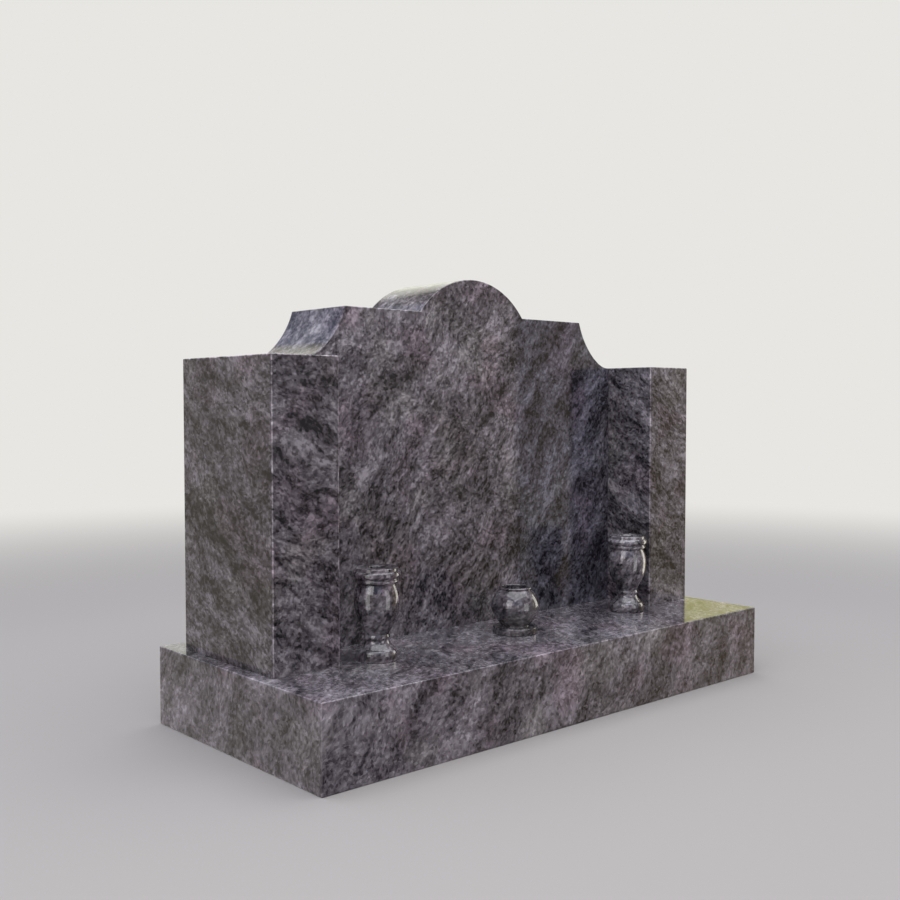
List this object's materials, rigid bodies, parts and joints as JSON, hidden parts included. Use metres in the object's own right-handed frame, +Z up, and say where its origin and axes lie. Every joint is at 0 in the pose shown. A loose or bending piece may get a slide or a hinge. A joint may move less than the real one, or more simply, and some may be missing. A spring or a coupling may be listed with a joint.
{
  "type": "headstone",
  "caption": "Polished granite headstone: a tablet with a round crown and hollow coves between square pillars, on a low base with turned flower vases and a bowl.",
  "frame": {"origin": "centre of the plinth's underside, on the ground", "axes": "+Z up, +X along the width towards the viewer's right, and the bare front face towards -Y"},
  "size_m": [1.22, 0.546, 0.8868],
  "materials": {
    "polished_granite": "polished",
    "turned_granite": "polished"
  },
  "bodies": {
    "root": {"plinth": "polished_granite", "tablet": "polished_granite", "left_pillar": "polished_granite", "right_pillar": "polished_granite", "left_vase": "turned_granite", "right_vase": "turned_granite", "bowl": "turned_granite"}
  },
  "joints": []
}
